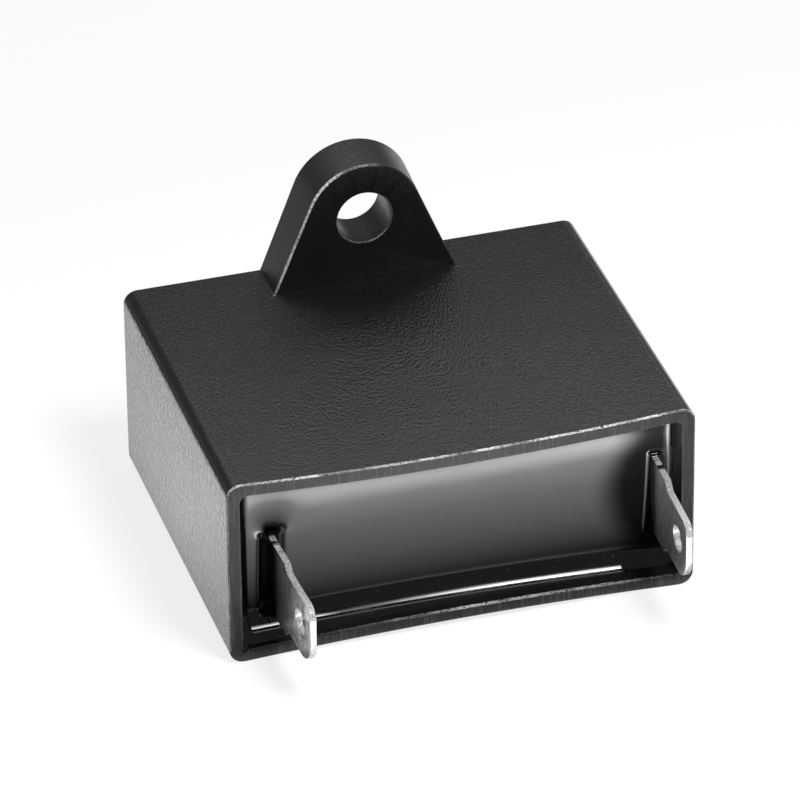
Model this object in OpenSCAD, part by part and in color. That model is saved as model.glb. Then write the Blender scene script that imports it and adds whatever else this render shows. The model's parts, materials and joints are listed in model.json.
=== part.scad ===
// Motor run capacitor: a moulded case with an ear, filled with resin round a flat film winding,
// with two blade terminals. X runs along the case, -Y is the open face, Z is up.

/* [Case] */
// Length of the case, left to right
case_l = 34; // [30:0.5:44]
// Depth of the case, from its rim to its closed face
case_h = 27.2; // [24:0.2:36]
// Thickness of the case, from its base to its top face
case_t = 14.6; // [13:0.2:20]
// Thickness of the side walls
wall = 0.95; // [0.8:0.05:1.4]
// Thickness of the closed end
back_wall = 1.2; // [0.8:0.1:2]
// Radius of the four long outer edges
edge_r = 1; // [0.6:0.1:2]
// Radius of the four long inner edges
corner_r = 0.65; // [0.3:0.05:0.9]
// How far the top wall is drawn in at the middle of the mouth
draw_top = 0.46; // [0.2:0.02:0.7]
// How far the bottom wall is drawn in at the middle of the mouth
draw_bottom = 0.4; // [0.2:0.02:0.7]
// Flat length left on the drawn walls before the closed face
draw_stop = 4; // [2:0.5:8]

/* [Ear] */
// Width of the ear where it leaves the top face
ear_base_w = 13.6; // [11:0.2:18]
// Radius of the ear's round top
ear_r = 4.55; // [3.6:0.05:5.4]
// Height of the screw hole above the top face
ear_rise = 5.2; // [4:0.1:8]
// Thickness of the ear, from the closed face forwards
ear_t = 3.7; // [2:0.1:5]
// Diameter of the screw hole
ear_hole_d = 4.2; // [3.2:0.1:5]

/* [Resin] */
// Depth of the resin's face behind the rim
resin_recess = 2.1; // [1.2:0.1:3.5]
// Radius of the curve with which the resin climbs the walls
meniscus_r = 0.9; // [0.5:0.1:1.1]
// Radius of the curve with which the resin climbs the blades
skirt_r = 0.8; // [0.4:0.1:0.9]
// Resin left between the winding and the walls, top, bottom and closed end
potting_gap = 0.7; // [0.3:0.1:1]
// Resin over the winding, from the resin's face
winding_cover = 3; // [2:0.2:5]

/* [Terminals] */
// Width of the blade
blade_w = 4.8; // [3.6:0.1:5.2]
// Thickness of the strip that the terminals are stamped from
blade_t = 0.5; // [0.4:0.1:0.8]
// How far the blade's tip stands out from the rim
blade_reach = 6.8; // [6:0.1:10]
// Length of the blade, from its shoulders to its tip
blade_l = 4.75; // [4:0.05:5.4]
// Radius of the upper tip corner
tip_upper_r = 0.95; // [0.3:0.05:1.2]
// Radius of the lower tip corner
tip_lower_r = 2; // [0.5:0.1:2.2]
// Diameter of the hole in the blade
blade_hole_d = 2; // [1.2:0.1:2.2]
// Distance of that hole from the tip
blade_hole_at = 2.2; // [1.8:0.1:2.8]
// Height of that hole above the middle of the blade
blade_hole_rise = 0.15; // [0:0.05:0.4]
// Width of the shank between the shoulders and the winding
shank_w = 5.9; // [5.4:0.1:6.6]
// Length of the sloping shoulders
shoulder_l = 0.75; // [0.3:0.05:1.2]
// Width of the leg that is soldered to the winding's end
leg_w = 2.6; // [2:0.1:3]
// Length of the leg beside the winding
leg_l = 8; // [6:0.2:10]
// Angle by which each blade leans in towards the other, in degrees
lean = 2.3; // [0:0.1:4]
// Middle of the left terminal, in from the left end of the case
left_inset = 3.8; // [3.2:0.1:5]
// Middle of the right terminal, in from the right end of the case
right_inset = 2.35; // [2.3:0.05:5]
// Centre of the left terminal below the middle of the case
left_drop = 1.75; // [0:0.05:1.9]
// Centre of the right terminal below the middle of the case
right_drop = 0.35; // [0:0.05:1.9]

/* [Winding ends] */
// Thickness of the sprayed metal layers
spray_t = 0.5; // [0.3:0.1:0.8]
// Film left bare round the edge of the sprayed layers
spray_margin = 0.2; // [0.1:0.1:0.5]
// Radius of the solder's round edge
solder_r = 2.9; // [2.6:0.1:3.4]
// Height of the solder over the sprayed layer
solder_h = 0.95; // [0.85:0.05:1.1]

/* [Hidden] */
$fn = 64;

// Sides of a full turn on the very shallow curves of the drawn walls
fine_fn = 1440;
// Sides of a full turn on the solder's low domes
dome_fn = 240;
// Overlap with which cutters and joined forms run into each other
lap = 0.3;
// How far a meniscus curve dips under the face that it leaves, so that both meet at an edge
dip = 0.03;

// Places along Y, with the whole part centred on the origin
rim_y = (blade_reach - case_h) / 2;
back_y = rim_y + case_h;
floor_y = back_y - back_wall;
resin_y = rim_y + resin_recess;
tip_y = rim_y - blade_reach;
mid_z = case_t / 2;

// Winding, from the room inside the case
winding_y = resin_y + winding_cover;
winding_w = floor_y - potting_gap - winding_y;
winding_t = case_t - 2 * wall - draw_top - draw_bottom - 2 * potting_gap;
winding_z = mid_z + (draw_bottom - draw_top) / 2;

// Terminals
left_x = left_inset - case_l / 2;
right_x = case_l / 2 - right_inset;
bend_y = resin_y - skirt_r;
leg_y = winding_y + leg_l;
solder_y = leg_y - leg_w / 2;
spray_left_x = left_x + blade_t / 2;
spray_right_x = right_x - blade_t / 2;

// Chord of the drawn walls, and the large radius that gives the drawn depth over it
draw_chord = case_l / 2 - edge_r - lap;
function draw_r(depth) = (draw_chord * draw_chord + depth * depth) / (2 * depth);
function draw_slope(depth) = atan(depth / (case_h - draw_stop));
function draw_at(depth, y) = depth * (back_y - draw_stop - y) / (case_h - draw_stop);

// Radius of a sphere whose cap has the given base radius and height
function cap_r(base_r, height) = (base_r * base_r + height * height) / (2 * height);

// A flat shape in X and Z, drawn out along Y
module along_y(from, to) {
    translate([0, to, 0]) rotate([90, 0, 0]) linear_extrude(to - from) children();
}

// A flat shape in Y and Z, drawn out along X
module along_x(from, to) {
    translate([from, 0, 0]) rotate([90, 0, 90]) linear_extrude(to - from) children();
}

module rounded_rect(l, t, r) {
    square([l - 2 * r, t], center = true);
    square([l, t - 2 * r], center = true);
    for (x = [-1, 1], y = [-1, 1])
        translate([x * (l / 2 - r), y * (t / 2 - r)]) circle(r);
}

// Flat oval between two points of Y, at the winding's height, smaller all round by the margin
module oval(margin) {
    r = winding_t / 2;
    translate([winding_y + r, winding_z]) {
        translate([0, margin - r]) square([winding_w - 2 * r, 2 * (r - margin)]);
        circle(r - margin);
        translate([winding_w - 2 * r, 0]) circle(r - margin);
    }
}

// Large cylinder that draws a wall in: deepest at the rim and nothing near the closed face
module drawn_wall(depth, thickness) {
    r = draw_r(depth);
    translate([0, rim_y, -depth]) rotate([draw_slope(depth), 0, 0]) translate([0, case_h / 2, r])
        rotate([90, 0, 0]) cylinder(h = 2 * case_h, r = r + thickness, center = true, $fn = fine_fn);
}

// Both drawn walls, as cutters on the outside or, with a thickness, on the inside
module drawn_walls(thickness) {
    translate([0, 0, case_t]) drawn_wall(draw_top, thickness);
    mirror([0, 0, 1]) drawn_wall(draw_bottom, thickness);
}

// Room inside the walls between two places along Y
module room(from, to) {
    difference() {
        translate([0, 0, mid_z]) along_y(from, to)
            rounded_rect(case_l - 2 * wall, case_t - 2 * wall, corner_r);
        drawn_walls(wall);
    }
}

// Section of the resin that climbs something at X = 0, on its positive side
module climb(r) {
    difference() {
        translate([-lap, resin_y - r]) square([lap + r - dip, r + lap]);
        translate([r - dip, resin_y - r + dip]) circle(r);
    }
}

// The climbing edge along a drawn wall whose inner face is at Z = 0, with the resin above it
module climb_drawn_wall(depth) {
    r = draw_r(depth) + wall;
    turn = 2 * asin((case_l / 2) / r);
    translate([0, 0, draw_at(depth, resin_y) - r]) rotate([90, 0, 0]) mirror([0, 0, 1])
        rotate([0, 0, 90 - turn / 2]) rotate_extrude(angle = turn, $fn = fine_fn)
            translate([r, 0]) climb(meniscus_r);
}

// The climbing edge along all four walls, trimmed to the room inside them
module meniscus() {
    inner_x = case_l / 2 - wall;
    intersection() {
        room(resin_y - meniscus_r, resin_y + lap);
        union() {
            for (side = [0, 1]) mirror([side, 0, 0])
                translate([-inner_x, 0, 0]) linear_extrude(case_t) climb(meniscus_r);
            translate([0, 0, wall]) climb_drawn_wall(draw_bottom);
            translate([0, 0, case_t - wall]) mirror([0, 0, 1]) climb_drawn_wall(draw_top);
        }
    }
}

// The resin that climbs a terminal's shank on all sides
module skirt(x, z) {
    half = shank_w / 2 - blade_t / 2;
    for (side = [0, 1]) {
        translate([x, 0, z - half]) mirror([side, 0, 0]) linear_extrude(2 * half)
            translate([blade_t / 2, 0]) climb(skirt_r);
        translate([x, 0, z]) mirror([0, 0, side]) translate([0, 0, half])
            rotate([90, 0, 0]) mirror([0, 0, 1]) rotate_extrude(angle = 180) skirt_end();
    }
}

// Section of the climbing resin round the narrow edge of a shank, from its middle outwards
module skirt_end() {
    intersection() {
        translate([blade_t / 2, 0]) climb(skirt_r);
        translate([0, resin_y - skirt_r]) square([blade_t + skirt_r, skirt_r + lap]);
    }
}

// What a rounded corner leaves out, at the origin, of a shape at positive X and negative Y
module corner_cut(r) {
    difference() {
        translate([-lap, -r]) square(r + lap);
        translate([r, -r]) circle(r);
    }
}

// Outline of a terminal in Y and Z: leg, shank, shoulders and the blade with its rounded tip
module terminal_outline() {
    shoulder_y = tip_y + blade_l;
    difference() {
        polygon([
            [tip_y, blade_w / 2], [shoulder_y, blade_w / 2],
            [shoulder_y + shoulder_l, shank_w / 2], [winding_y, shank_w / 2],
            [winding_y, leg_w / 2], [leg_y, leg_w / 2],
            [leg_y, -leg_w / 2], [winding_y, -leg_w / 2],
            [winding_y, -shank_w / 2], [shoulder_y + shoulder_l, -shank_w / 2],
            [shoulder_y, -blade_w / 2], [tip_y, -blade_w / 2]
        ]);
        translate([tip_y, blade_w / 2]) corner_cut(tip_upper_r);
        translate([tip_y, -blade_w / 2]) mirror([0, 1]) corner_cut(tip_lower_r);
    }
}

// The strip seen from above: straight in the resin, then bent over towards positive X
module terminal_strip() {
    run = bend_y - tip_y + lap;
    side = [cos(lean), sin(lean)] * blade_t / 2;
    mitre = [1, tan(lean / 2)] * blade_t / 2;
    end = [run * sin(lean), bend_y - run * cos(lean)];
    polygon([
        [-blade_t / 2, leg_y + lap], [0, bend_y] - mitre, end - side,
        end + side, [0, bend_y] + mitre, [blade_t / 2, leg_y + lap]
    ]);
}

// A terminal that stands at X = 0 and leans towards positive X
module terminal() {
    difference() {
        intersection() {
            translate([0, 0, -shank_w]) linear_extrude(2 * shank_w) terminal_strip();
            along_x(-case_l / 4, case_l / 4) terminal_outline();
        }
        translate([0, bend_y, blade_hole_rise]) rotate([0, 0, lean])
            translate([0, tip_y - bend_y + blade_hole_at, 0])
                rotate([0, 90, 0]) cylinder(h = 4 * blade_t, d = blade_hole_d, center = true);
    }
}

module place_left() {
    translate([left_x, 0, mid_z - left_drop]) children();
}

module place_right() {
    translate([right_x, 0, mid_z - right_drop]) mirror([1, 0, 0]) children();
}

// Low dome of solder over a leg that stands at X = 0, on the sprayed layer at positive X
module solder() {
    r = cap_r(solder_r, solder_h);
    difference() {
        intersection() {
            translate([blade_t / 2 - solder_h + r, solder_y, 0]) sphere(r, $fn = dome_fn);
            translate([-solder_h, solder_y - solder_r - lap, -solder_r - lap])
                cube([solder_h + blade_t / 2, 2 * (solder_r + lap), 2 * (solder_r + lap)]);
        }
        terminal();
    }
}

module ear_outline() {
    base = ear_base_w / 2;
    angle = acos(ear_r / norm([base, ear_rise])) - atan(ear_rise / base);
    tangent = [ear_r * cos(angle), ear_rise + ear_r * sin(angle)];
    polygon([
        [-base, -wall / 2], [base, -wall / 2], [base, 0], tangent,
        [-tangent.x, tangent.y], [-base, 0]
    ]);
    translate([0, ear_rise]) circle(ear_r);
}

module case() {
    color("#2b2b2d") difference() {
        union() {
            difference() {
                translate([0, 0, mid_z]) along_y(rim_y, back_y) rounded_rect(case_l, case_t, edge_r);
                drawn_walls(0);
            }
            translate([0, 0, case_t]) along_y(back_y - ear_t, back_y) ear_outline();
        }
        room(rim_y - lap, floor_y);
        translate([0, back_y - ear_t / 2, case_t + ear_rise]) rotate([90, 0, 0])
            cylinder(h = ear_t + 2 * lap, d = ear_hole_d, center = true);
    }
}

module potting_resin() {
    color("#0d0d0f") difference() {
        union() {
            room(resin_y, floor_y);
            meniscus();
            skirt(left_x, mid_z - left_drop);
            skirt(right_x, mid_z - right_drop);
        }
        film_winding();
        end_spray_left();
        end_spray_right();
        solder_left();
        solder_right();
        terminal_left();
        terminal_right();
    }
}

module film_winding() {
    color("#c9c6bd") along_x(spray_left_x + spray_t, spray_right_x - spray_t) oval(0);
}

module end_spray_left() {
    color("#8f9294") along_x(spray_left_x, spray_left_x + spray_t) oval(spray_margin);
}

module end_spray_right() {
    color("#8f9294") along_x(spray_right_x - spray_t, spray_right_x) oval(spray_margin);
}

module solder_left() {
    color("#b4b6b8") place_left() solder();
}

module solder_right() {
    color("#b4b6b8") place_right() solder();
}

module terminal_left() {
    color("#d2d3d4") place_left() terminal();
}

module terminal_right() {
    color("#d2d3d4") place_right() terminal();
}

case();
potting_resin();
film_winding();
end_spray_left();
end_spray_right();
solder_left();
solder_right();
terminal_left();
terminal_right();
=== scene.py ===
import json
import math

import bmesh
import bpy
from mathutils import Matrix, Vector


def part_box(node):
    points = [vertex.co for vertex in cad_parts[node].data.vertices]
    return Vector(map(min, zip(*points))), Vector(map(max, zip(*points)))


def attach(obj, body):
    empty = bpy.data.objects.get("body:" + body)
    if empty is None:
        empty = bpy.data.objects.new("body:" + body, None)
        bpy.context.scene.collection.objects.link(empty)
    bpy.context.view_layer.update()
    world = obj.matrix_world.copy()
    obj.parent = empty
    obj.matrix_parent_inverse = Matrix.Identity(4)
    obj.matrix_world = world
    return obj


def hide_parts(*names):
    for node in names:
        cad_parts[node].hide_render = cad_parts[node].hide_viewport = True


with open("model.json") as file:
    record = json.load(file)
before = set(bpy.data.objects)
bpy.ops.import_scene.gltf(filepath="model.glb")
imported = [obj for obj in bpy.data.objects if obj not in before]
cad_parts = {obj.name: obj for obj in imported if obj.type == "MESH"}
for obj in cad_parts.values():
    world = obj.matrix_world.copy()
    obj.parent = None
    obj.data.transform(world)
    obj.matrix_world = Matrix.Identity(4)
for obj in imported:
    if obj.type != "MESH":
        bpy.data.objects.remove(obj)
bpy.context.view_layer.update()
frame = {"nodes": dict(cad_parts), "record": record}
mm = 0.001
hair = 0.01 * mm                 # allowance when points are picked by their place
weld = 0.001 * mm                # points closer than this become one
cutSlack = 0.0001 * mm
body = "root"
caseLow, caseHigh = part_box("case")
resinLow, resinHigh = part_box("potting_resin")
mounts = {m["name"]: m for m in frame["record"]["mounts"]}
earHole = Vector(mounts["mounting_hole"]["pos_m"])
earHoleRadius = mounts["mounting_hole"]["dims"]["r_mm"] * mm
holeReach = 1.05 * earHoleRadius                    # the hole's own points lie within this
topZ = 2 * mounts["mounting_face"]["pos_m"][2]      # top of the case, under the ear
stripThick = 0.5 * mm            # of both terminals
noiseSpan = (0.3, 0.7)           # most of a noise's values lie between these
print("frame loaded:", len(frame["nodes"]), "nodes")


# camera: looks down on the potted mouth from the front left
cameraSettings = {
    "place": (-121.173 * mm, -403.004 * mm, 275.736 * mm),
    "azimuth": math.radians(-16.5448),
    "elevation": math.radians(32.0363),
    "roll": math.radians(-0.635),
    "lens": 317.34,
    "sensor": 36.0,
    "clip": (0.01, 20.0),
}


def addCamera(s):
    data = bpy.data.cameras.new("camera")
    data.lens = s["lens"]
    data.sensor_width = s["sensor"]
    data.clip_start, data.clip_end = s["clip"]
    cam = bpy.data.objects.new("camera", data)
    turn = (Matrix.Rotation(s["azimuth"], 4, "Z")
            @ Matrix.Rotation(math.pi / 2 - s["elevation"], 4, "X")
            @ Matrix.Rotation(s["roll"], 4, "Z"))
    cam.matrix_world = Matrix.Translation(s["place"]) @ turn
    bpy.context.scene.collection.objects.link(cam)
    bpy.context.scene.camera = cam


addCamera(cameraSettings)
print("camera placed")


# small helpers that every piece uses
def near(a, b, slack=0.002 * mm):
    return abs(a - b) < slack


def bothEnds(e, test):
    return all(test(v.co) for v in e.verts)


def newVerts(out):
    return [g for g in out["geom"] if isinstance(g, bmesh.types.BMVert)]


def newFaces(out):
    return [g for g in out["geom"] if isinstance(g, bmesh.types.BMFace)]


def roundEdges(bm, edges, radius, steps):
    return bmesh.ops.bevel(bm, geom=edges, offset=radius, offset_type="OFFSET", segments=steps,
                           profile=0.5, affect="EDGES", material=-1, clamp_overlap=True,
                           face_strength_mode="ALL")


def roundCorners(bm, verts, radius, steps):
    bmesh.ops.bevel(bm, geom=verts, offset=radius, offset_type="OFFSET", segments=steps,
                    profile=0.5, affect="VERTICES", material=-1)


def sliceAlong(bm, faces, normal, places):
    # cuts the given faces at each place along the normal, so they can be bent
    for place in places:
        faces = [f for f in faces if f.is_valid]
        geom = list({v for f in faces for v in f.verts})
        geom += list({e for f in faces for e in f.edges})
        faces = newFaces(bmesh.ops.bisect_plane(bm, geom=geom + faces, dist=cutSlack,
                                                plane_co=Vector(normal) * place, plane_no=normal))
    return faces


def sheetWithHole(bm, outline, hole):
    # fills a flat outline around a round hole
    return newFaces(bmesh.ops.triangle_fill(bm, use_beauty=True, edges=outline + hole))


def ringOfEdges(bm, centre, radius, steps, turn):
    ring = bmesh.ops.create_circle(bm, segments=steps, radius=radius,
                                   matrix=Matrix.Translation(centre) @ turn)
    return list({e for v in ring["verts"] for e in v.link_edges})


def finishPiece(name, bm, node, material, sharp=40):
    bmesh.ops.recalc_face_normals(bm, faces=bm.faces[:])
    mesh = bpy.data.meshes.new(name)
    bm.to_mesh(mesh)
    bm.free()
    mesh.materials.append(material)
    for p in mesh.polygons:
        p.use_smooth = True
    mesh.set_sharp_from_angle(angle=math.radians(sharp))
    piece = bpy.data.objects.new(name, mesh)
    bpy.context.scene.collection.objects.link(piece)
    even = piece.modifiers.new("even_normals", "WEIGHTED_NORMAL")
    even.keep_sharp = True
    even.use_face_influence = True
    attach(piece, body)
    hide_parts(node)
    print(name, "built:", len(mesh.polygons), "faces")
    return piece


def newMaterial(name):
    mat = bpy.data.materials.new(name)
    mat.use_nodes = True
    return mat, mat.node_tree, mat.node_tree.nodes["Principled BSDF"]


def addNode(tree, kind, sockets=None, **settings):
    # a socket takes a number, a colour or another node's output
    node = tree.nodes.new("ShaderNode" + kind)
    for key, value in settings.items():
        setattr(node, key, value)
    for key, value in (sockets or {}).items():
        if isinstance(value, bpy.types.NodeSocket):
            tree.links.new(value, node.inputs[key])
        else:
            node.inputs[key].default_value = value
    return node


def calc(tree, operation, a, b=0.0):
    return addNode(tree, "Math", {0: a, 1: b}, operation=operation).outputs[0]


def times(tree, *values):
    product = values[0]
    for value in values[1:]:
        product = calc(tree, "MULTIPLY", product, value)
    return product


def fade(tree, value, low, high, start=0.0, end=1.0, kind="SMOOTHSTEP"):
    # goes from start at the low value to end at the high one
    sockets = {"Value": value, "From Min": low, "From Max": high, "To Min": start, "To Max": end}
    return addNode(tree, "MapRange", sockets, interpolation_type=kind).outputs[0]


def blendValue(tree, share, a, b):
    return addNode(tree, "Mix", {"Factor": share, "A": a, "B": b}).outputs["Result"]


def objectPlace(tree):
    return addNode(tree, "TexCoord").outputs["Object"]


def axesOf(tree, vector):
    return addNode(tree, "SeparateXYZ", {0: vector}).outputs


def faceTurn(tree):
    return axesOf(tree, addNode(tree, "NewGeometry").outputs["Normal"])


def speckle(tree, size, detail=2.0, turn=(0, 0, 0)):
    # noise with lumps of the given size along X, Y and Z
    fit = addNode(tree, "Mapping", {"Vector": objectPlace(tree), "Rotation": turn,
                                    "Scale": [1 / v for v in size]})
    noise = addNode(tree, "TexNoise", {"Vector": fit.outputs[0], "Scale": 1.0, "Detail": detail})
    return noise.outputs["Fac"]


def mark(tree, name):
    return addNode(tree, "Attribute", attribute_name=name).outputs["Fac"]


def setGrey(tree, shader, level):
    colour = addNode(tree, "CombineColor", {0: level, 1: level, 2: level})
    tree.links.new(colour.outputs[0], shader.inputs["Base Color"])


def setBump(tree, shader, height, distance, strength=1.0):
    bump = addNode(tree, "Bump", {"Height": height, "Distance": distance, "Strength": strength})
    tree.links.new(bump.outputs[0], shader.inputs["Normal"])


# moulded case with its screw ear, one piece
caseSettings = {
    "wall": 0.95 * mm,
    "closedEnd": 1.2 * mm,
    "outlineRadius": 1.2 * mm,   # the outline starts with this, so that the rim can be inset
    "edgeRadius": 1.0 * mm,
    "edgeSteps": 8,
    "cornerRadius": 0.65 * mm,   # inside corners of the mouth
    "cornerSlack": 0.1 * mm,
    "outerShare": 0.7,           # of the wall's thickness, counted as outside
    "outlineShare": 0.3,         # of the outline's radius, counted as its edge
    "drawTop": 0.46 * mm,        # how far the top wall is drawn in at the mouth
    "drawBottom": 0.40 * mm,
    "drawChord": 15.7 * mm,
    "drawStop": 4.0 * mm,        # flat stretch before the closed face
    "earFoot": 6.8 * mm,         # half width of the ear where it leaves the top
    "earThick": 3.7 * mm,
    "earSteps": 32,
    "crownTrim": 0.1 * mm,
    "earTaper": 0.05,            # mould draft: narrower and lower at the front
    "earDrop": 0.13 * mm,
    "earEdge": 0.14 * mm,
    "earRoot": 0.1 * mm,
    "backEdge": 0.3 * mm,
    "holeTaper": 0.955,
    "holeEdge": 0.1 * mm,
    "holeSteps": 48,
    "rimOuter": 0.12 * mm,
    "rimInner": 0.07 * mm,
    "rimFloor": 0.15 * mm,       # torn inner edge along the bottom
    "bentAngle": 0.3,            # edges that turn more than this are rounded
    "softSteps": 3,
    "fineSteps": 2,
    "burrTop": 1.0,              # how ragged each edge is, 0 to 1; the ragged parts are also whitened, partly as painted highlight
    "burrLeft": 0.35,
    "burrRight": 0.3,
    "burrBottom": 0.25,
    "burrMouth": 0.7,
    "burrHole": 0.2,
    "burrEar": 0.9,              # along its front left edge
    "burrEarEnd": 1.5 * mm,      # gone this far right of the middle
    "burrEarRun": 4.5 * mm,
    "tornAt": 4.0 * mm,          # the bottom edge is torn most here
    "tornRun": 7.5 * mm,
    "slicesX": 24,
    "slicesY": 6,
}


def drawnIn(x, y, depth, s):
    # shallow hollow across the wall, deepest at the mouth
    stop = caseHigh.y - s["drawStop"]
    run = (stop - y) / (stop - caseLow.y)
    radius = (s["drawChord"] ** 2 + depth ** 2) / (2 * depth)
    return max(0.0, depth * run - x * x / (2 * radius))


def caseOutline(bm, s):
    # rounded rectangle on the closed face, with two points where the ear stands
    foot = s["earFoot"]
    wide = caseHigh.x
    corners = [(-wide, 0), (wide, 0), (wide, topZ), (foot, topZ), (-foot, topZ), (-wide, topZ)]
    verts = [bm.verts.new((x, caseHigh.y, z)) for x, z in corners]
    bmesh.ops.contextual_create(bm, geom=verts)
    ends = [v for v in verts if near(abs(v.co.x), wide)]
    roundCorners(bm, ends, s["outlineRadius"], s["edgeSteps"])
    bm.faces.ensure_lookup_table()
    return bm.faces[0]


def pushFace(bm, face, y, keep=False):
    # extrudes a flat face to a new place along Y and returns the new face
    out = bmesh.ops.extrude_face_region(bm, geom=[face], use_keep_orig=True)
    pushed = newFaces(out)[0]
    for v in newVerts(out):
        v.co.y = y
    if not keep:
        bmesh.ops.delete(bm, geom=[face], context="FACES_ONLY")
    return pushed


def inHole(co):
    return math.hypot(co.x, co.z - earHole.z) < holeReach


def isHoleEdge(e):
    return bothEnds(e, inHole)


def taperEar(co, crown, s):
    # draws one point of the ear's front in, the hole by its own share
    if inHole(co):
        co.x *= s["holeTaper"]
        co.z = earHole.z + (co.z - earHole.z) * s["holeTaper"]
    else:
        up = (co.z - topZ) / (earHole.z + crown - topZ)
        co.x *= 1 - s["earTaper"] * up
        co.z -= s["earDrop"] * up


def underEar(co, s):
    earFront = caseHigh.y - s["earThick"]
    return near(co.z, topZ) and abs(co.x) < s["earFoot"] + hair and co.y > earFront - hair


def addEar(bm, s):
    foot = s["earFoot"]
    back = caseHigh.y
    crown = caseHigh.z - earHole.z - s["crownTrim"]
    rise = earHole.z - topZ
    # the straight flanks touch the round top
    lean = math.acos(crown / math.hypot(foot, rise)) - math.atan2(rise, foot)
    right = bm.verts.new((foot, back, topZ))
    left = bm.verts.new((-foot, back, topZ))
    start = bm.verts.new((crown * math.cos(lean), back, earHole.z + crown * math.sin(lean)))
    arc = bmesh.ops.spin(bm, geom=[start], cent=(0, back, earHole.z), axis=(0, -1, 0),
                         angle=math.pi - 2 * lean, steps=s["earSteps"])
    end = next(g for g in arc["geom_last"] if isinstance(g, bmesh.types.BMVert))
    for pair in ((right, start), (end, left), (left, right)):
        bm.edges.new(pair)
    outline = [e for e in bm.edges if not e.link_faces]
    hole = ringOfEdges(bm, (0, back, earHole.z), earHoleRadius, s["holeSteps"],
                       Matrix.Rotation(math.pi / 2, 4, "X"))
    sheet = sheetWithHole(bm, outline, hole)
    for v in newVerts(bmesh.ops.extrude_face_region(bm, geom=sheet, use_keep_orig=True)):
        v.co.y = back - s["earThick"]
        taperEar(v.co, crown, s)
    # opens the top under the ear, so ear and case become one skin
    under = [f for f in bm.faces if all(underEar(v.co, s) for v in f.verts)]
    bmesh.ops.delete(bm, geom=under, context="FACES")
    bmesh.ops.remove_doubles(bm, verts=bm.verts[:], dist=weld)


def softenCase(bm, s):
    burr = bm.faces.layers.float.new("burr")
    sawn = bm.faces.layers.float.new("sawn")
    earFront = caseHigh.y - s["earThick"]
    skin = s["wall"] * s["outerShare"]
    for f in bm.faces:
        f[sawn] = float(all(near(v.co.y, caseLow.y) for v in f.verts))

    def bent(test):
        return [e for e in bm.edges if e.calc_face_angle(0) > s["bentAngle"] and bothEnds(e, test)]

    def outside(c):
        return abs(c.x) > caseHigh.x - skin or c.z < skin or c.z > topZ - skin

    def mouthEdges():
        return bent(lambda c: near(c.y, caseLow.y) and not outside(c))

    def isFloor(e):
        return bothEnds(e, lambda c: near(c.z, s["wall"]))

    def isRoot(e):
        return bothEnds(e, lambda c: near(c.z, topZ))

    def worn(edges, radius, steps, amount):
        # rounds the edges and marks how ragged they are, which also sets where they get the partly
        # painted highlight
        for f in roundEdges(bm, edges, radius, steps)["faces"]:
            f[sawn] = 0
            f[burr] = amount(f.calc_center_median()) if callable(amount) else amount

    def earBurr(c):
        return s["burrEar"] * min(1, max(0, (s["burrEarEnd"] - c.x) / s["burrEarRun"]))

    def outerBurr(c):
        if c.z > topZ - skin:
            return s["burrTop"]
        if c.z < skin:
            return s["burrBottom"]
        return s["burrLeft"] if c.x < 0 else s["burrRight"]

    soft, fine = s["softSteps"], s["fineSteps"]
    hole = [e for e in bent(lambda c: c.z > topZ) if isHoleEdge(e)]
    worn(hole, s["holeEdge"], fine, s["burrHole"])
    flush = [e for e in bent(lambda c: near(c.y, earFront)) if not isHoleEdge(e)]
    worn([e for e in flush if not isRoot(e)], s["earEdge"], soft, earBurr)
    worn(bent(lambda c: underEar(c, s)), s["earRoot"], fine, 0.0)
    back = bent(lambda c: near(c.y, caseHigh.y))
    worn([e for e in back if not isHoleEdge(e)], s["backEdge"], soft, 0.0)
    rim = bent(lambda c: near(c.y, caseLow.y))
    worn([e for e in rim if bothEnds(e, outside)], s["rimOuter"], soft, outerBurr)
    worn([e for e in mouthEdges() if isFloor(e)], s["rimFloor"], soft, s["burrMouth"])
    worn([e for e in mouthEdges() if not isFloor(e)], s["rimInner"], fine, s["burrBottom"])


def drawWalls(bm, s):
    # slices let the walls curve, then they are drawn in towards the mouth
    stop = caseHigh.y - s["drawStop"]
    faces = [f for f in bm.faces if f.calc_center_median().y < stop]
    step = 2 * s["drawChord"] / s["slicesX"]
    faces = sliceAlong(bm, faces, (1, 0, 0), [i * step - s["drawChord"] for i in range(s["slicesX"] + 1)])
    step = (stop - caseLow.y) / s["slicesY"]
    sliceAlong(bm, faces, (0, 1, 0), [caseLow.y + (i + 1) * step for i in range(s["slicesY"])])
    for v in bm.verts:
        if v.co.y < stop and abs(v.co.x) < s["drawChord"]:
            if v.co.z > topZ - 2 * s["wall"]:
                v.co.z -= drawnIn(v.co.x, v.co.y, s["drawTop"], s)
            elif v.co.z < 2 * s["wall"]:
                v.co.z += drawnIn(v.co.x, v.co.y, s["drawBottom"], s)


def fadeBurr(bm, s):
    # the bottom edge is torn in one stretch and clean towards its ends, and so is its partly painted
    # highlight
    burr = bm.faces.layers.float["burr"]
    for f in bm.faces:
        c = f.calc_center_median()
        if c.z < 2 * s["wall"]:
            f[burr] *= math.exp(-((c.x - s["tornAt"]) / s["tornRun"]) ** 2)


def turnCorners(verts, inset, radius, s):
    # gives round corners another radius, the given way inside the outline
    for v in verts:
        sideX = math.copysign(1, v.co.x)
        sideZ = math.copysign(1, v.co.z - topZ / 2)
        middle = Vector((sideX * caseHigh.x, v.co.y, topZ / 2 + sideZ * topZ / 2))
        slant = Vector((sideX, 0, sideZ))
        turn = v.co - (middle - slant * s["outlineRadius"])
        across, up = turn.x * sideX, turn.z * sideZ
        if min(across, up) > -s["cornerSlack"]:
            turn = Vector((max(0, across) * sideX, 0, max(0, up) * sideZ)).normalized()
            v.co = middle - slant * (inset + radius) + turn * radius


def onOutline(co, s):
    deep = min(caseHigh.x - abs(co.x), co.z, topZ - co.z)
    return deep < s["outlineShare"] * s["outlineRadius"]


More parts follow.
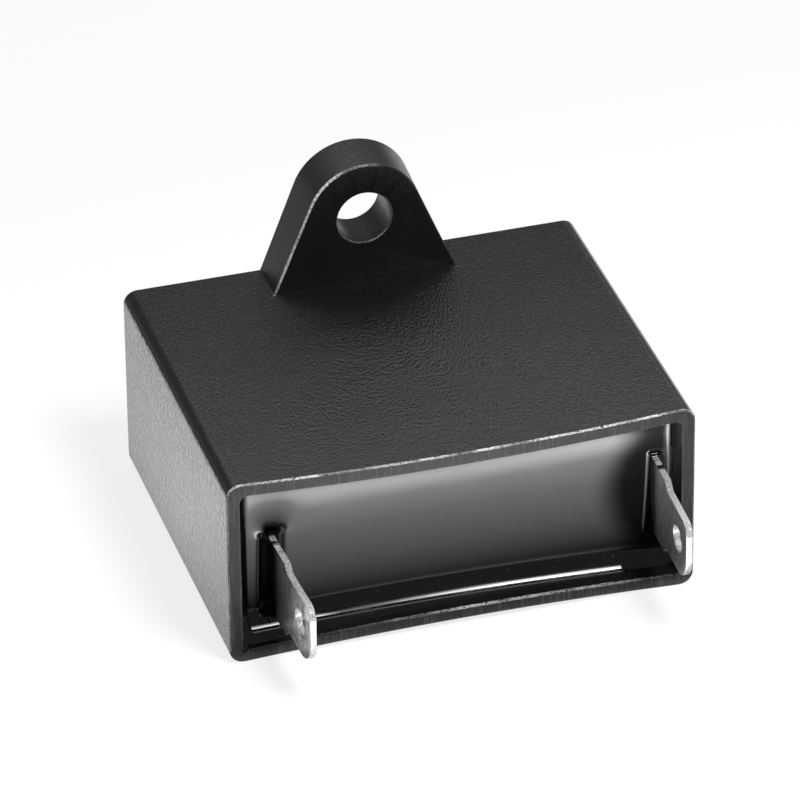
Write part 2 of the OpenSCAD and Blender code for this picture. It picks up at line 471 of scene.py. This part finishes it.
def buildCase(s):
    bm = bmesh.new()
    face = caseOutline(bm, s)
    face = pushFace(bm, face, caseHigh.y - s["earThick"], keep=True)
    front = pushFace(bm, face, caseLow.y)
    addEar(bm, s)
    # the sawn rim, then the room behind the mouth
    bmesh.ops.recalc_face_normals(bm, faces=bm.faces[:])
    bmesh.ops.inset_region(bm, faces=[front], thickness=s["wall"], use_even_offset=True)
    turnCorners(front.verts, s["wall"], s["cornerRadius"], s)
    pushFace(bm, front, caseHigh.y - s["closedEnd"])
    turnCorners([v for v in bm.verts if onOutline(v.co, s)], 0, s["edgeRadius"], s)
    bmesh.ops.recalc_face_normals(bm, faces=bm.faces[:])
    softenCase(bm, s)
    drawWalls(bm, s)
    fadeBurr(bm, s)
    return bm


plasticSettings = {
    "black": 0.006,
    "cloudSize": 6 * mm,         # slow change of the black
    "cloudRange": (0.85, 1.15),
    "grainSize": (0.12 * mm, 0.28 * mm, 0.26 * mm),     # spark-eroded mould skin
    "grainDepth": 0.11 * mm,
    "squareCut": (0.9, 0.99),    # the rounded edges came out of the mould smooth
    "roughness": (0.14, 0.26),
    "earSkin": 1 * mm,           # over this height the skin gets duller and smoother, by the next two
    "earRoughness": 0.14,
    "earGrain": 0.4,
    "sawnBlack": 0.02,
    "sawnTint": 0.04,
    "sawnRoughness": 0.6,
    "sawSize": (0.075 * mm, 3 * mm, 2.5 * mm),
    "sawCut": (0.5, 0.72),
    "sawDepth": 0.3,             # as a share of the grain's, like the next depth
    "tornDepth": 1.5,
    "tornSize": (0.16 * mm, 0.1 * mm, 0.07 * mm),
    "tornTurn": (0, math.radians(35), 0),
    "tornCut": (0.38, 0.52),
    "patchSize": 2.2 * mm,       # torn edges come and go in patches, and so does their partly painted highlight
    "patchCut": (0.3, 0.65),
    "patchRange": (0.25, 1.0),
    # near-white of torn edges: partly stress-whitened plastic, partly painted highlight
    "scuffedAndPaintedHighlight": 0.8,
    "refraction": 1.5,
}


def plasticMaterial(s):
    mat, tree, shader = newMaterial("case_plastic")
    shader.inputs["IOR"].default_value = s["refraction"]
    erosion = speckle(tree, s["grainSize"], 3.0)
    cloud = speckle(tree, [s["cloudSize"]] * 3, 3.0)
    saw = speckle(tree, s["sawSize"])
    ragged = speckle(tree, s["tornSize"], 3.0, s["tornTurn"])
    patch = fade(tree, speckle(tree, [s["patchSize"]] * 3), *s["patchCut"], *s["patchRange"])
    sawn = mark(tree, "sawn")
    burr = mark(tree, "burr")
    # torn edges are painted near-white: partly whitened plastic, partly painted highlight
    torn = times(tree, burr, patch, fade(tree, ragged, *s["tornCut"]))
    streak = times(tree, sawn, fade(tree, saw, *s["sawCut"]), s["sawnTint"])
    skin = times(tree, fade(tree, cloud, *noiseSpan, *s["cloudRange"]), s["black"])
    level = calc(tree, "ADD", blendValue(tree, sawn, skin, s["sawnBlack"]), streak)
    setGrey(tree, shader, blendValue(tree, torn, level, s["scuffedAndPaintedHighlight"]))
    onEar = fade(tree, axesOf(tree, objectPlace(tree))["Z"], topZ, topZ + s["earSkin"])
    dull = calc(tree, "ADD", fade(tree, erosion, *noiseSpan, *s["roughness"]),
                times(tree, onEar, s["earRoughness"]))
    tree.links.new(blendValue(tree, sawn, dull, s["sawnRoughness"]), shader.inputs["Roughness"])
    # flat walls face along one axis, rounded edges don't
    turn = faceTurn(tree)
    square = calc(tree, "ABSOLUTE", turn["X"])
    for axis in ("Y", "Z"):
        square = calc(tree, "MAXIMUM", square, calc(tree, "ABSOLUTE", turn[axis]))
    grain = times(tree, erosion, fade(tree, square, *s["squareCut"]),
                  blendValue(tree, onEar, 1.0, s["earGrain"]))
    height = blendValue(tree, sawn, grain, times(tree, saw, s["sawDepth"]))
    height = blendValue(tree, burr, height, times(tree, ragged, s["tornDepth"]))
    setBump(tree, shader, height, s["grainDepth"])
    return mat


finishPiece("moulded_case", buildCase(caseSettings), "case",
            plasticMaterial(plasticSettings))


# casting resin: flat mirror face that climbs the walls and the blades
resinSettings = {
    "recess": 2.13 * mm,         # flat face behind the rim
    "stepsX": 460,
    "stepsZ": 180,
    "crowd": 0.45,               # how much the grid crowds towards the walls
    "tuck": 0.02 * mm,           # edge of the sheet hidden in the wall
    "left": (0.97 * mm, 0.06 * mm, 0.7),    # reach, softness and slope of the climb up the left wall
    "right": (0.7 * mm, 0.1 * mm),          # how high the resin climbs a wall, and how far it reaches
    "top": (0.8 * mm, 0.3 * mm),
    "creaseLeft": (1.85 * mm, 0.035 * mm),  # along the bottom: how far out the climb starts, how softly
    "creaseRight": (1.33 * mm, 0.12 * mm),
    "creaseEnd": (12.1 * mm, 12.8 * mm, 0.25),      # where it drops off beside the right blade
    "creaseSlope": 0.3,
    "creaseBend": 0.65 / mm,                # and how fast it steepens towards the wall
    # to the left, right, top and bottom of each blade: reach, softness and slope of the mound that it
    # stands in, then depth and reach of the slow sink around it
    "skirts": {
        "terminal_left": ((0.78 * mm, 0.08 * mm, 1.5, 0.0, 0.5 * mm),
                          (0.1 * mm, 0.1 * mm, 0.0, 0.4 * mm, 0.5 * mm),
                          (0.1 * mm, 0.1 * mm, 0.0, 0.8 * mm, 0.75 * mm),
                          (0.15 * mm, 0.08 * mm, 1.2, 0.0, 0.3 * mm)),
        "terminal_right": ((0.25 * mm, 0.05 * mm, 1.9, 0.0, 0.3 * mm),
                           (0.5 * mm, 0.08 * mm, 1.7, 0.0, 0.3 * mm),
                           (0.35 * mm, 0.06 * mm, 1.7, 0.0, 0.3 * mm),
                           (0.3 * mm, 0.06 * mm, 1.4, 0.0, 0.3 * mm)),
    },
    "skirtSlant": {"terminal_left": 0.1, "terminal_right": 0.6},    # wider towards the bottom
    "black": 0.0015,
    "dustSize": 0.12 * mm,
    "dustCut": (0.8, 0.86),
    "dustGrey": 0.05,
    "hazeSize": 3 * mm,
    "roughness": (0.049, 0.091),
    "waveSize": (5 * mm, 5 * mm, 4 * mm),   # slow waves from curing
    "waveDepth": 0.01 * mm,
    "waveStrength": 0.6,
    "refraction": 1.53,
}


def bladeFoot(node):
    # middle and half sizes of the strip where it leaves the resin
    low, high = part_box(node)
    outer = low.x if node == "terminal_left" else high.x - stripThick
    return (outer + stripThick / 2, (low.z + high.z) / 2, stripThick / 2, (high.z - low.z) / 2)


def awayFrom(x, z, foot):
    # how far a point lies from the strip, along X and along Z
    midX, midZ, halfThick, halfWidth = foot
    dx = math.copysign(max(0, abs(x - midX) - halfThick), x - midX)
    return dx, math.copysign(max(0, abs(z - midZ) - halfWidth), z - midZ)


def ramp(ahead, soft):
    # nothing behind the start, a straight line ahead of it
    return soft * math.log1p(math.exp(ahead / soft))


def skirtHeight(dx, dz, skirt, slant):
    # the resin around the strip, with its own form on each side
    gap = math.hypot(dx, dz)
    shares = (dx < 0, dx >= 0, 0, 0)
    if gap > 0:
        shares = [(max(0, d) / gap) ** 2 for d in (-dx, dx, dz, -dz)]
    reach, soft, slope, sink, run = (sum(share * value for share, value in zip(shares, values))
                                     for values in zip(*skirt))
    return slope * ramp(reach * slant - gap, soft) - sink * math.exp(-gap / run)


def creaseHeight(gap, x, share, s):
    # the resin leaves its flat face in a crease and bends up to the bottom wall
    reach, soft = (a + (b - a) * share for a, b in zip(s["creaseLeft"], s["creaseRight"]))
    run = ramp(reach - gap, soft)
    start, end, drop = s["creaseEnd"]
    past = max(0, min(1, (x - start) / (end - start)))
    eased = past * past * (3 - 2 * past)
    return run * (s["creaseSlope"] + run * s["creaseBend"] / 2) * (1 - drop * eased)


def climb(wall, gap):
    high, reach = wall
    return high * math.exp(-max(0, gap) / reach)


def resinHeight(x, z, zLow, zHigh, halfWide, s, feet):
    share = (x + halfWide) / (2 * halfWide)
    reach, soft, slope = s["left"]
    h = slope * ramp(reach - x - halfWide, soft) + climb(s["right"], halfWide - x)
    h += creaseHeight(z - zLow, x, share, s) + climb(s["top"], zHigh - z)
    for node, foot in feet.items():
        midX, midZ, halfThick, halfWidth = foot
        slant = 1 - s["skirtSlant"][node] * max(-1, min(1, (z - midZ) / halfWidth))
        h += skirtHeight(*awayFrom(x, z, foot), s["skirts"][node], slant)
    return h


def buildResin(s, c):
    flat = caseLow.y + s["recess"]
    halfWide = resinHigh.x
    feet = {node: bladeFoot(node) for node in s["skirts"]}
    bm = bmesh.new()
    bmesh.ops.create_grid(bm, x_segments=s["stepsX"], y_segments=s["stepsZ"], size=1.0)

    def crowd(u):
        return u * (1 - s["crowd"]) + s["crowd"] * math.sin(u * math.pi / 2)

    for v in bm.verts:
        x = crowd(v.co.x) * (halfWide + s["tuck"])
        zLow = resinLow.z + drawnIn(x, flat, c["drawBottom"], c)
        zHigh = resinHigh.z - drawnIn(x, flat, c["drawTop"], c)
        z = (zLow + zHigh) / 2 + crowd(v.co.y) * ((zHigh - zLow) / 2 + s["tuck"])
        v.co = (x, flat - resinHeight(x, z, zLow, zHigh, halfWide, s, feet), z)
    for v in newVerts(bmesh.ops.extrude_edge_only(bm, edges=[e for e in bm.edges if e.is_boundary])):
        v.co.y = resinHigh.y
    bmesh.ops.holes_fill(bm, edges=[e for e in bm.edges if e.is_boundary], sides=0)
    return bm


def resinMaterial(s):
    mat, tree, shader = newMaterial("casting_resin")
    shader.inputs["IOR"].default_value = s["refraction"]
    haze = speckle(tree, [s["hazeSize"]] * 3, 3.0)
    wave = speckle(tree, s["waveSize"], 1.0)
    dust = fade(tree, speckle(tree, [s["dustSize"]] * 3, 0.0), *s["dustCut"])
    setGrey(tree, shader, blendValue(tree, dust, s["black"], s["dustGrey"]))
    tree.links.new(fade(tree, haze, *noiseSpan, *s["roughness"]), shader.inputs["Roughness"])
    setBump(tree, shader, wave, s["waveDepth"], s["waveStrength"])
    return mat


finishPiece("casting_resin", buildResin(resinSettings, caseSettings), "potting_resin",
            resinMaterial(resinSettings), sharp=70)


# blade terminals, stamped from tinned strip
bladeSettings = {
    "width": 4.8 * mm,
    "length": 4.75 * mm,
    "shoulder": 0.75 * mm,
    "tipUpper": 0.95 * mm,
    "tipLower": 2.0 * mm,
    "tipSteps": 10,
    "holeRadius": 1.0 * mm,
    "holeAt": 2.2 * mm,
    "holeRise": 0.15 * mm,
    "holeSteps": 40,
    "legWidth": 2.6 * mm,
    "lean": math.radians(2.3),
    "tipBack": 0.002 * mm,       # keeps the leaning tip inside the CAD box
    "bendAt": 0.8 * mm,          # in front of the resin's flat face
    "edge": 0.07 * mm,
    "edgeSteps": 3,
    "rimAngle": 1.2,             # edges that turn more than this are rounded
}


def bladeOutline(bm, node, s):
    # the whole stamping seen from its side, with round tip corners, and its hole
    low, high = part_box(node)
    midZ = (low.z + high.z) / 2
    tip = low.y + s["tipBack"]
    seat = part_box("film_winding")[0].y
    halfBlade = s["width"] / 2
    halfShank = (high.z - low.z) / 2
    halfLeg = s["legWidth"] / 2
    shoulder = tip + s["length"]
    upper = [(tip, halfBlade), (shoulder, halfBlade), (shoulder + s["shoulder"], halfShank),
             (seat, halfShank), (seat, halfLeg), (high.y, halfLeg)]
    outline = upper + [(y, -z) for y, z in reversed(upper)]
    verts = [bm.verts.new((0, y, midZ + z)) for y, z in outline]
    for a, b in zip(verts, verts[1:] + verts[:1]):
        bm.edges.new((a, b))
    for corner, radius in ((verts[0], s["tipUpper"]), (verts[-1], s["tipLower"])):
        roundCorners(bm, [corner], radius, s["tipSteps"])
    loop = bm.edges[:]
    hole = ringOfEdges(bm, (0, tip + s["holeAt"], midZ + s["holeRise"]), s["holeRadius"], s["holeSteps"],
                       Matrix.Rotation(math.pi / 2, 4, "Y"))
    return loop, hole


def buildBlade(node, s, side):
    bm = bmesh.new()
    sheet = sheetWithHole(bm, *bladeOutline(bm, node, s))
    moved = newVerts(bmesh.ops.extrude_face_region(bm, geom=sheet, use_keep_orig=True))
    bmesh.ops.translate(bm, verts=bm.verts[:], vec=(-stripThick / 2, 0, 0))
    bmesh.ops.translate(bm, verts=moved, vec=(stripThick, 0, 0))
    bmesh.ops.recalc_face_normals(bm, faces=bm.faces[:])
    rims = [e for e in bm.edges if e.calc_face_angle(0) > s["rimAngle"]
            and near(e.verts[0].co.x, e.verts[1].co.x)]
    roundEdges(bm, rims, s["edge"], s["edgeSteps"])
    # the part outside leans towards the other blade
    bend = caseLow.y + resinSettings["recess"] - s["bendAt"]
    bmesh.ops.bisect_plane(bm, geom=bm.verts[:] + bm.edges[:] + bm.faces[:], dist=cutSlack,
                           plane_co=(0, bend, 0), plane_no=(0, 1, 0))
    bmesh.ops.rotate(bm, verts=[v for v in bm.verts if v.co.y < bend], cent=(0, bend, 0),
                     matrix=Matrix.Rotation(side * s["lean"], 3, "Z"))
    bmesh.ops.translate(bm, verts=bm.verts[:], vec=(bladeFoot(node)[0], 0, 0))
    return bm


tinSettings = {
    "bright": 0.95,
    "dull": 0.4,
    "blotchCut": (0.38, 0.62),
    "mottleSize": (0.1 * mm, 0.1 * mm, 0.13 * mm),
    "rolledSize": (0.1 * mm, 0.1 * mm, 1.6 * mm),   # lines from rolling, across the blade
    "rolledDepth": 0.006 * mm,
    "flatCut": (0.5, 0.8),       # what turns less to the side is a sheared edge
    "sheared": (0.28, 0.68),     # edges: matte, speckled
    "shearedMetal": 0.4,
    "crystalSize": 0.09 * mm,
    "crystalCut": (0.35, 0.6),
    "crystalDepth": 0.6,         # as a share of the rolled lines'
    "roughness": (0.28, 0.46),
    "filmStart": 0.6 * mm,       # in front of the resin's flat face
    "filmReach": 1.5 * mm,       # how far a thin film of resin creeps up from the skirt
    "filmRagged": 2.5 * mm,
    "filmBlack": 0.02,
    "wetReach": (1.6 * mm, 1.2 * mm),
    "wetSize": (3 * mm, 0.55 * mm, 3 * mm),
    "wetCut": (0.44, 0.54),
}


def tinMaterial(s):
    mat, tree, shader = newMaterial("tinned_strip")
    mottle = speckle(tree, s["mottleSize"])
    rolled = speckle(tree, s["rolledSize"])
    crystals = speckle(tree, [s["crystalSize"]] * 3)
    blotch = times(tree, calc(tree, "ADD", mottle, rolled), 0.5)
    shine = fade(tree, blotch, *s["blotchCut"], s["dull"], s["bright"])
    flat = fade(tree, calc(tree, "ABSOLUTE", faceTurn(tree)["X"]), *s["flatCut"])
    y = axesOf(tree, objectPlace(tree))["Y"]
    # the film thins out along the strip in ragged runs
    start = caseLow.y + resinSettings["recess"] - s["filmStart"]
    along = calc(tree, "ADD", y, times(tree, calc(tree, "SUBTRACT", rolled, 0.5), s["filmRagged"]))
    film = times(tree, fade(tree, along, start - s["filmReach"], start), flat)
    # and it wets the edges in patches
    patch = fade(tree, speckle(tree, s["wetSize"], 1.0), *s["wetCut"])
    wet = times(tree, fade(tree, y, *(start - reach for reach in s["wetReach"])), patch)
    film = calc(tree, "MAXIMUM", film, times(tree, wet, calc(tree, "SUBTRACT", 1.0, flat)))
    shine = blendValue(tree, flat, fade(tree, crystals, *s["crystalCut"], *s["sheared"]), shine)
    setGrey(tree, shader, blendValue(tree, film, shine, s["filmBlack"]))
    tree.links.new(fade(tree, mottle, *noiseSpan, *s["roughness"]), shader.inputs["Roughness"])
    tree.links.new(fade(tree, flat, 0.0, 1.0, s["shearedMetal"], 1.0), shader.inputs["Metallic"])
    height = calc(tree, "ADD", rolled, times(tree, crystals, s["crystalDepth"]))
    setBump(tree, shader, height, s["rolledDepth"])
    return mat


tinnedStrip = tinMaterial(tinSettings)
for node, side in (("terminal_left", 1), ("terminal_right", -1)):
    blade = finishPiece("blade_" + node, buildBlade(node, bladeSettings, side), node,
                        tinnedStrip)
    blade.visible_glossy = False     # the resin shows no mirror image of it


# hidden inside the casting: the winding, its sprayed ends and the solder
innerSettings = {
    "wound_film": {
        "nodes": ("film_winding",),
        "lumps": (30 * mm, 30 * mm, 0.05 * mm),     # thin turns, one on another
        "detail": 2.0,
        "grey": (0.35, 0.6),
        "metal": 0.8,
        "roughness": 0.35,
        "depth": 0.01 * mm,
    },
    "sprayed_zinc": {
        "nodes": ("end_spray_left", "end_spray_right"),
        "lumps": (0.2 * mm, 0.2 * mm, 0.2 * mm),
        "detail": 4.0,
        "grey": (0.2, 0.38),
        "metal": 0.6,
        "roughness": 0.7,
        "depth": 0.06 * mm,
    },
    "solder": {
        "nodes": ("solder_left", "solder_right"),
        "lumps": (0.8 * mm, 0.8 * mm, 0.8 * mm),
        "detail": 3.0,
        "grey": (0.5, 0.68),
        "metal": 1.0,
        "roughness": 0.3,
        "depth": 0.02 * mm,
    },
}


def innerMaterial(name, s):
    mat, tree, shader = newMaterial(name)
    lumps = speckle(tree, s["lumps"], s["detail"])
    setGrey(tree, shader, fade(tree, lumps, *noiseSpan, *s["grey"]))
    shader.inputs["Metallic"].default_value = s["metal"]
    shader.inputs["Roughness"].default_value = s["roughness"]
    setBump(tree, shader, lumps, s["depth"])
    return mat


for name, settings in innerSettings.items():
    finish = innerMaterial(name, settings)
    for node in settings["nodes"]:
        mesh = frame["nodes"][node].data
        mesh.materials.clear()
        mesh.materials.append(finish)
print("inner works finished")


# stage: pale floor, softboxes, and cards of light for the reflections
stageSettings = {
    "floorHalf": 1.0,
    "floorColour": 0.9,
    "cameraWhite": 0.8,          # share of plain white in the floor, the rest takes the shadow
    "worldLevel": 0.2,
    "keyPlace": (0.075, -0.155, 0.315),
    "keySize": (0.09, 0.12),
    "keyPower": 1.4,
    "backPlace": (0.0, 0.06, 0.108),
    "backSize": (0.25, 0.09),
    "backPower": 0.13,
}

# cards on the floor: each fade gives two places, and the share of light at each
cardSide = caseLow.x - 0.2 * mm      # where the two cards meet

# in front of the mouth
frontCardSettings = {
    "low": (cardSide, -250 * mm),
    "high": (60 * mm, -10.6 * mm),
    "height": 0.3 * mm,
    # brightness by distance in front of the origin, in mm; the dim stretch close to the case is a painted
    # shade of the case on the floor, as the resin mirrors it
    "levels": ((11.5, 0.05), (13, 0.6), (16, 1.55), (20, 2.6), (23, 4.2), (25.3, 12.5), (27, 12.5),
               (30, 4), (45, 0.6), (60, 0.35)),
    "leftEnd": (-15 * mm, -12 * mm, 0.15, 1.0),
    "tilt": (-12 * mm, 12 * mm, 0.86, 1.1),
    "rightEnd": 13.5 * mm,
    "rightSoft": (-1.8 * mm, 1.0 * mm, 0.06, 1.0),
    "sweep": 5.5 * mm,           # the right end sweeps outwards by this
    "sweepRun": (-12.5 * mm, -25.5 * mm),
    "sweepBend": 2.6,
    "grid": (0.85, 0.6, 0.05, 1.0),     # a grid on the card dims it along the floor
}

# along the left side
leftCardSettings = {
    "low": (-250 * mm, -40 * mm),
    "high": (cardSide, 250 * mm),
    "height": 0.3 * mm,
    "level": 2.35,
    "wall": (cardSide, cardSide - 8 * mm, 0.62, 1.0),   # dimmer close to the case
    "front": (-10 * mm, 8 * mm, 0.6, 1.0),
    "back": (10 * mm, 30 * mm, 1.0, 0.8),
    "end": (-26 * mm, -32 * mm, 1.0, 0.1),      # where its lit part ends
}

# what the resin mirrors of the softbox
keyGlowSettings = {
    "low": (0.04, -0.264),
    "high": (0.155, -0.158),
    "height": 0.3,
    "level": 50.0,
    "farEdge": -0.199,
    "bend": 2.8,                 # dark at its front, brightest at its far edge
    "across": (0.073, 0.128, 0.06, 1.6),        # brighter to the right
    "patch": (0.064, 0.068, 0.5, 0.0),          # and a patch at the left end
    "gap": -0.168,               # thin gap of light behind it
    "gapLevel": 2.5,
}


def floorMaterial(s):
    mat, tree, shader = newMaterial("floor_card")
    tree.nodes.remove(shader)
    matte = addNode(tree, "BsdfDiffuse", {"Color": (s["floorColour"],) * 3 + (1,)})
    white = addNode(tree, "Emission", {"Strength": 1.0})
    path = addNode(tree, "LightPath").outputs
    camera = times(tree, path["Is Camera Ray"], s["cameraWhite"])
    mirror = calc(tree, "MAXIMUM", path["Is Glossy Ray"], path["Is Transmission Ray"])
    share = calc(tree, "MAXIMUM", camera, mirror)
    mix = addNode(tree, "MixShader", {0: share, 1: matte.outputs[0], 2: white.outputs[0]})
    tree.links.new(mix.outputs[0], tree.nodes["Material Output"].inputs["Surface"])
    return mat


def glowMaterial(name):
    mat, tree, shader = newMaterial(name)
    tree.nodes.remove(shader)
    glow = addNode(tree, "Emission")
    tree.links.new(glow.outputs[0], tree.nodes["Material Output"].inputs["Surface"])
    axes = axesOf(tree, objectPlace(tree))
    return mat, tree, glow.inputs["Strength"], axes["X"], axes["Y"]


def frontCardMaterial(s):
    mat, tree, strength, x, y = glowMaterial("front_card_glow")
    first, last = s["levels"][0][0], s["levels"][-1][0]
    top = max(level for at, level in s["levels"])
    away = fade(tree, y, -first * mm, -last * mm, kind="LINEAR")
    band = addNode(tree, "ValToRGB", {0: away})
    stops = band.color_ramp.elements
    stops[0].position, stops[1].position = 0, 1
    for at, level in s["levels"][1:-1]:
        stops.new((at - first) / (last - first))
    for stop, (at, level) in zip(stops, s["levels"]):
        stop.color = (level / top,) * 3 + (1,)
    sweep = calc(tree, "POWER", fade(tree, y, *s["sweepRun"], kind="LINEAR"), s["sweepBend"])
    end = calc(tree, "ADD", times(tree, sweep, s["sweep"]), s["rightEnd"])
    inside = fade(tree, calc(tree, "SUBTRACT", end, x), *s["rightSoft"])
    slant = addNode(tree, "LayerWeight", {"Blend": 0.5}).outputs["Facing"]
    level = times(tree, band.outputs["Color"], inside, fade(tree, x, *s["leftEnd"]),
                  fade(tree, x, *s["tilt"], "LINEAR"), fade(tree, slant, *s["grid"]), top)
    tree.links.new(level, strength)
    return mat


def leftCardMaterial(s):
    mat, tree, strength, x, y = glowMaterial("left_card_glow")
    level = times(tree, fade(tree, x, *s["wall"], "LINEAR"), fade(tree, y, *s["front"], "LINEAR"),
                  fade(tree, y, *s["back"], "LINEAR"), fade(tree, x, *s["end"]), s["level"])
    tree.links.new(level, strength)
    return mat


def keyGlowMaterial(s):
    mat, tree, strength, x, y = glowMaterial("key_glow")
    along = calc(tree, "POWER", fade(tree, y, s["low"][1], s["farEdge"], kind="LINEAR"), s["bend"])
    lit = calc(tree, "LESS_THAN", y, s["farEdge"])
    across = calc(tree, "ADD", fade(tree, x, *s["across"]), fade(tree, x, *s["patch"]))
    gap = times(tree, calc(tree, "GREATER_THAN", y, s["gap"]), s["gapLevel"])
    tree.links.new(calc(tree, "ADD", times(tree, along, lit, across, s["level"]), gap), strength)
    return mat


def addSheet(name, low, high, z, material):
    mesh = bpy.data.meshes.new(name)
    bm = bmesh.new()
    bmesh.ops.create_grid(bm, x_segments=1, y_segments=1, size=0.5)
    bmesh.ops.scale(bm, verts=bm.verts[:], vec=(high[0] - low[0], high[1] - low[1], 1))
    bmesh.ops.translate(bm, verts=bm.verts[:], vec=((low[0] + high[0]) / 2, (low[1] + high[1]) / 2, z))
    bm.to_mesh(mesh)
    bm.free()
    mesh.materials.append(material)
    sheet = bpy.data.objects.new(name, mesh)
    bpy.context.scene.collection.objects.link(sheet)
    return sheet


def addCard(name, s, material):
    # a card shows in reflections and lights nothing else
    card = addSheet(name, s["low"], s["high"], s["height"], material)
    card.visible_camera = False
    card.visible_diffuse = False
    card.visible_shadow = False
    card.visible_transmission = False


def addPanel(name, centre, aim, size, power):
    # a soft panel lamp at centre that faces the aim point
    lamp = bpy.data.lights.new(name, "AREA")
    lamp.shape = "RECTANGLE"
    lamp.size, lamp.size_y = size
    lamp.energy = power
    panel = bpy.data.objects.new(name, lamp)
    turn = (Vector(aim) - Vector(centre)).to_track_quat("-Z", "Y").to_matrix().to_4x4()
    panel.matrix_world = Matrix.Translation(centre) @ turn
    panel.visible_camera = False
    bpy.context.scene.collection.objects.link(panel)
    return panel


def addStage(s):
    half = s["floorHalf"]
    addSheet("floor", (-half, -half), (half, half), 0, floorMaterial(s))
    addCard("front_card", frontCardSettings, frontCardMaterial(frontCardSettings))
    addCard("left_card", leftCardSettings, leftCardMaterial(leftCardSettings))
    addCard("key_glow", keyGlowSettings, keyGlowMaterial(keyGlowSettings))
    key = addPanel("key_box", s["keyPlace"], (0, 0, topZ), s["keySize"], s["keyPower"])
    key.visible_glossy = False       # its glow card is mirrored instead
    addPanel("back_box", s["backPlace"], (0, 0, s["backPlace"][2]), s["backSize"], s["backPower"])
    world = bpy.data.worlds.new("studio")
    bpy.context.scene.world = world
    world.use_nodes = True
    air = world.node_tree.nodes["Background"]
    air.inputs["Color"].default_value = (1, 1, 1, 1)
    air.inputs["Strength"].default_value = s["worldLevel"]
    bpy.context.scene.view_settings.view_transform = "Standard"


addStage(stageSettings)
print("stage set")
